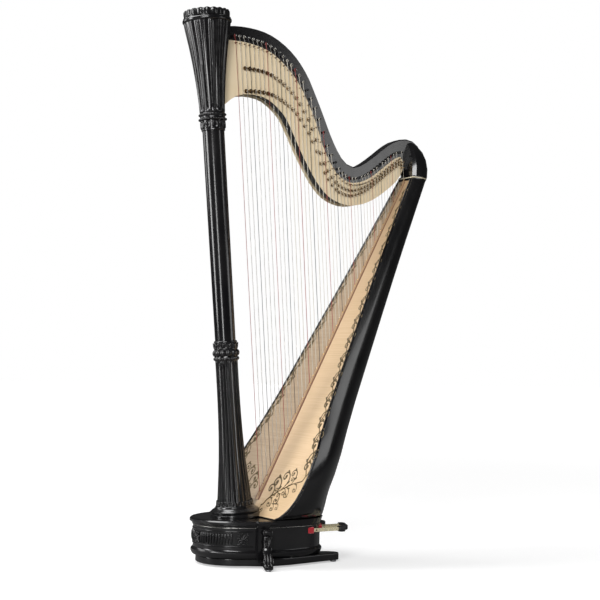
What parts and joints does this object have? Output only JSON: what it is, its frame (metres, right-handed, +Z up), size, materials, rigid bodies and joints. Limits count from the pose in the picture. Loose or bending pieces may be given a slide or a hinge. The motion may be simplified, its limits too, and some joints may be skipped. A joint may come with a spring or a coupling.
{
  "type": "pedal harp",
  "caption": "Concert pedal harp in black lacquer with a fluted column and capital, spruce soundboard, brass pedals and turning tuning discs.",
  "frame": {"origin": "on the floor under the middle of the harp's box", "axes": "+Z up; -X towards the column; +X towards the player; -Y is the side of the discs, the player's left"},
  "size_m": [1.0191, 0.512, 1.8611],
  "materials": {
    "ebonised_wood": "polished black lacquer",
    "red_felt": "felt",
    "steel": "bright",
    "cast_iron": "black",
    "brass": "polished",
    "rubber": "ribbed",
    "spruce": "satin varnish, gilt scrolls",
    "maple": "satin varnish",
    "ivory_line": "polished",
    "pale_gold_plate": "satin lacquered"
  },
  "bodies": {
    "frame": {"action_plate_left": "pale_gold_plate", "action_plate_right": "pale_gold_plate", "base_floor": "ebonised_wood", "base_shell": "ebonised_wood", "base_top": "ebonised_wood", "capital": "ebonised_wood", "column_collar": "ebonised_wood", "column_foot": "ebonised_wood", "column_shaft": "ebonised_wood", "corner_foot_left": "ebonised_wood", "corner_foot_right": "ebonised_wood", "crown": "ebonised_wood", "glide_front_left": "steel", "glide_front_right": "steel", "glide_rear_left": "steel", "glide_rear_right": "steel", "neck": "ebonised_wood", "pedal_axle": "steel", "pedal_felt": "red_felt", "pedal_rack": "cast_iron", "shoulder_band": "ivory_line", "soundboard": "spruce", "soundbox_shell": "ebonised_wood", "string_rib": "maple", "strings_and_tuning_pins": "steel"},
    "pedal_D": {"pedal_D": "brass", "pedal_cap_D": "rubber"},
    "pedal_C": {"pedal_C": "brass", "pedal_cap_C": "rubber"},
    "pedal_B": {"pedal_B": "brass", "pedal_cap_B": "rubber"},
    "pedal_E": {"pedal_E": "brass", "pedal_cap_E": "rubber"},
    "pedal_F": {"pedal_F": "brass", "pedal_cap_F": "rubber"},
    "pedal_G": {"pedal_G": "brass", "pedal_cap_G": "rubber"},
    "pedal_A": {"pedal_A": "brass", "pedal_cap_A": "rubber"},
    "rod_D": {"pedal_rod_D": "steel"},
    "rod_C": {"pedal_rod_C": "steel"},
    "rod_B": {"pedal_rod_B": "steel"},
    "rod_E": {"pedal_rod_E": "steel"},
    "rod_F": {"pedal_rod_F": "steel"},
    "rod_G": {"pedal_rod_G": "steel"},
    "rod_A": {"pedal_rod_A": "steel"},
    "natural_disc_E": {"natural_disc_E": "brass"},
    "sharp_disc_E": {"sharp_disc_E": "brass"},
    "natural_disc_F": {"natural_disc_F": "brass"},
    "sharp_disc_F": {"sharp_disc_F": "brass"},
    "natural_disc_G": {"natural_disc_G": "brass"},
    "sharp_disc_G": {"sharp_disc_G": "brass"},
    "natural_disc_A": {"natural_disc_A": "brass"},
    "sharp_disc_A": {"sharp_disc_A": "brass"},
    "natural_disc_B": {"natural_disc_B": "brass"},
    "sharp_disc_B": {"sharp_disc_B": "brass"},
    "natural_disc_C": {"natural_disc_C": "brass"},
    "sharp_disc_C": {"sharp_disc_C": "brass"},
    "natural_disc_D": {"natural_disc_D": "brass"},
    "sharp_disc_D": {"sharp_disc_D": "brass"}
  },
  "joints": [
    {"name": "pedal_D_press", "type": "hinge", "parent": "frame", "child": "pedal_D", "pos_m": [-0.3465, 0, 0.075], "axis": [0, 1, 0], "range_deg": [0, 7.3], "stiffness_Nm_per_rad": 40, "springref_deg": -5.73},
    {"name": "pedal_C_press", "type": "hinge", "parent": "frame", "child": "pedal_C", "pos_m": [-0.3465, 0, 0.075], "axis": [0, 1, 0], "range_deg": [0, 7.3], "stiffness_Nm_per_rad": 40, "springref_deg": -5.73},
    {"name": "pedal_B_press", "type": "hinge", "parent": "frame", "child": "pedal_B", "pos_m": [-0.3465, 0, 0.075], "axis": [0, 1, 0], "range_deg": [0, 7.3], "stiffness_Nm_per_rad": 40, "springref_deg": -5.73},
    {"name": "pedal_E_press", "type": "hinge", "parent": "frame", "child": "pedal_E", "pos_m": [-0.3465, 0, 0.075], "axis": [0, 1, 0], "range_deg": [0, 7.3], "stiffness_Nm_per_rad": 40, "springref_deg": -5.73},
    {"name": "pedal_F_press", "type": "hinge", "parent": "frame", "child": "pedal_F", "pos_m": [-0.3465, 0, 0.075], "axis": [0, 1, 0], "range_deg": [0, 7.3], "stiffness_Nm_per_rad": 40, "springref_deg": -5.73},
    {"name": "pedal_G_press", "type": "hinge", "parent": "frame", "child": "pedal_G", "pos_m": [-0.3465, 0, 0.075], "axis": [0, 1, 0], "range_deg": [0, 7.3], "stiffness_Nm_per_rad": 40, "springref_deg": -5.73},
    {"name": "pedal_A_press", "type": "hinge", "parent": "frame", "child": "pedal_A", "pos_m": [-0.3465, 0, 0.075], "axis": [0, 1, 0], "range_deg": [0, 7.3], "stiffness_Nm_per_rad": 40, "springref_deg": -5.73},
    {"name": "rod_D_pull", "type": "slide", "parent": "frame", "child": "rod_D", "axis": [0.0918, 0, -0.9958], "range_m": [0, 0.0105]},
    {"name": "rod_C_pull", "type": "slide", "parent": "frame", "child": "rod_C", "axis": [0.0918, 0, -0.9958], "range_m": [0, 0.0105]},
    {"name": "rod_B_pull", "type": "slide", "parent": "frame", "child": "rod_B", "axis": [0.0918, 0, -0.9958], "range_m": [0, 0.0105]},
    {"name": "rod_E_pull", "type": "slide", "parent": "frame", "child": "rod_E", "axis": [0.0918, 0, -0.9958], "range_m": [0, 0.0105]},
    {"name": "rod_F_pull", "type": "slide", "parent": "frame", "child": "rod_F", "axis": [0.0918, 0, -0.9958], "range_m": [0, 0.0105]},
    {"name": "rod_G_pull", "type": "slide", "parent": "frame", "child": "rod_G", "axis": [0.0918, 0, -0.9958], "range_m": [0, 0.0105]},
    {"name": "rod_A_pull", "type": "slide", "parent": "frame", "child": "rod_A", "axis": [0.0918, 0, -0.9958], "range_m": [0, 0.0105]},
    {"name": "natural_disc_E_turn", "type": "hinge", "parent": "frame", "child": "natural_disc_E", "pos_m": [-0.27068, 0, 1.68286], "axis": [0, 1, 0], "range_deg": [0, 52]},
    {"name": "sharp_disc_E_turn", "type": "hinge", "parent": "frame", "child": "sharp_disc_E", "pos_m": [-0.26403, 0, 1.60444], "axis": [0, 1, 0], "range_deg": [0, 52]},
    {"name": "natural_disc_F_turn", "type": "hinge", "parent": "frame", "child": "natural_disc_F", "pos_m": [-0.25313, 0, 1.68361], "axis": [0, 1, 0], "range_deg": [0, 52]},
    {"name": "sharp_disc_F_turn", "type": "hinge", "parent": "frame", "child": "sharp_disc_F", "pos_m": [-0.24669, 0, 1.60664], "axis": [0, 1, 0], "range_deg": [0, 52]},
    {"name": "natural_disc_G_turn", "type": "hinge", "parent": "frame", "child": "natural_disc_G", "pos_m": [-0.2356, 0, 1.6833], "axis": [0, 1, 0], "range_deg": [0, 52]},
    {"name": "sharp_disc_G_turn", "type": "hinge", "parent": "frame", "child": "sharp_disc_G", "pos_m": [-0.22937, 0, 1.60783], "axis": [0, 1, 0], "range_deg": [0, 52]},
    {"name": "natural_disc_A_turn", "type": "hinge", "parent": "frame", "child": "natural_disc_A", "pos_m": [-0.21813, 0, 1.68248], "axis": [0, 1, 0], "range_deg": [0, 52]},
    {"name": "sharp_disc_A_turn", "type": "hinge", "parent": "frame", "child": "sharp_disc_A", "pos_m": [-0.21211, 0, 1.60854], "axis": [0, 1, 0], "range_deg": [0, 52]},
    {"name": "natural_disc_B_turn", "type": "hinge", "parent": "frame", "child": "natural_disc_B", "pos_m": [-0.20072, 0, 1.68098], "axis": [0, 1, 0], "range_deg": [0, 52]},
    {"name": "sharp_disc_B_turn", "type": "hinge", "parent": "frame", "child": "sharp_disc_B", "pos_m": [-0.1949, 0, 1.6086], "axis": [0, 1, 0], "range_deg": [0, 52]},
    {"name": "natural_disc_C_turn", "type": "hinge", "parent": "frame", "child": "natural_disc_C", "pos_m": [-0.1833, 0, 1.67804], "axis": [0, 1, 0], "range_deg": [0, 52]},
    {"name": "sharp_disc_C_turn", "type": "hinge", "parent": "frame", "child": "sharp_disc_C", "pos_m": [-0.17769, 0, 1.6073], "axis": [0, 1, 0], "range_deg": [0, 52]},
    {"name": "natural_disc_D_turn", "type": "hinge", "parent": "frame", "child": "natural_disc_D", "pos_m": [-0.16584, 0, 1.67321], "axis": [0, 1, 0], "range_deg": [0, 52]},
    {"name": "sharp_disc_D_turn", "type": "hinge", "parent": "frame", "child": "sharp_disc_D", "pos_m": [-0.16045, 0, 1.6042], "axis": [0, 1, 0], "range_deg": [0, 52]}
  ],
  "couplings": [
    {"joint": "rod_D_pull", "follows": "pedal_D_press", "m_per_rad": 0.08087},
    {"joint": "rod_C_pull", "follows": "pedal_C_press", "m_per_rad": 0.08087},
    {"joint": "rod_B_pull", "follows": "pedal_B_press", "m_per_rad": 0.08087},
    {"joint": "rod_E_pull", "follows": "pedal_E_press", "m_per_rad": 0.08087},
    {"joint": "rod_F_pull", "follows": "pedal_F_press", "m_per_rad": 0.08087},
    {"joint": "rod_G_pull", "follows": "pedal_G_press", "m_per_rad": 0.08087},
    {"joint": "rod_A_pull", "follows": "pedal_A_press", "m_per_rad": 0.08087},
    {"joint": "natural_disc_E_turn", "follows": "pedal_E_press", "ratio": 7},
    {"joint": "sharp_disc_E_turn", "follows": "pedal_E_press", "ratio": 7},
    {"joint": "natural_disc_F_turn", "follows": "pedal_F_press", "ratio": 7},
    {"joint": "sharp_disc_F_turn", "follows": "pedal_F_press", "ratio": 7},
    {"joint": "natural_disc_G_turn", "follows": "pedal_G_press", "ratio": 7},
    {"joint": "sharp_disc_G_turn", "follows": "pedal_G_press", "ratio": 7},
    {"joint": "natural_disc_A_turn", "follows": "pedal_A_press", "ratio": 7},
    {"joint": "sharp_disc_A_turn", "follows": "pedal_A_press", "ratio": 7},
    {"joint": "natural_disc_B_turn", "follows": "pedal_B_press", "ratio": 7},
    {"joint": "sharp_disc_B_turn", "follows": "pedal_B_press", "ratio": 7},
    {"joint": "natural_disc_C_turn", "follows": "pedal_C_press", "ratio": 7},
    {"joint": "sharp_disc_C_turn", "follows": "pedal_C_press", "ratio": 7},
    {"joint": "natural_disc_D_turn", "follows": "pedal_D_press", "ratio": 7},
    {"joint": "sharp_disc_D_turn", "follows": "pedal_D_press", "ratio": 7}
  ]
}
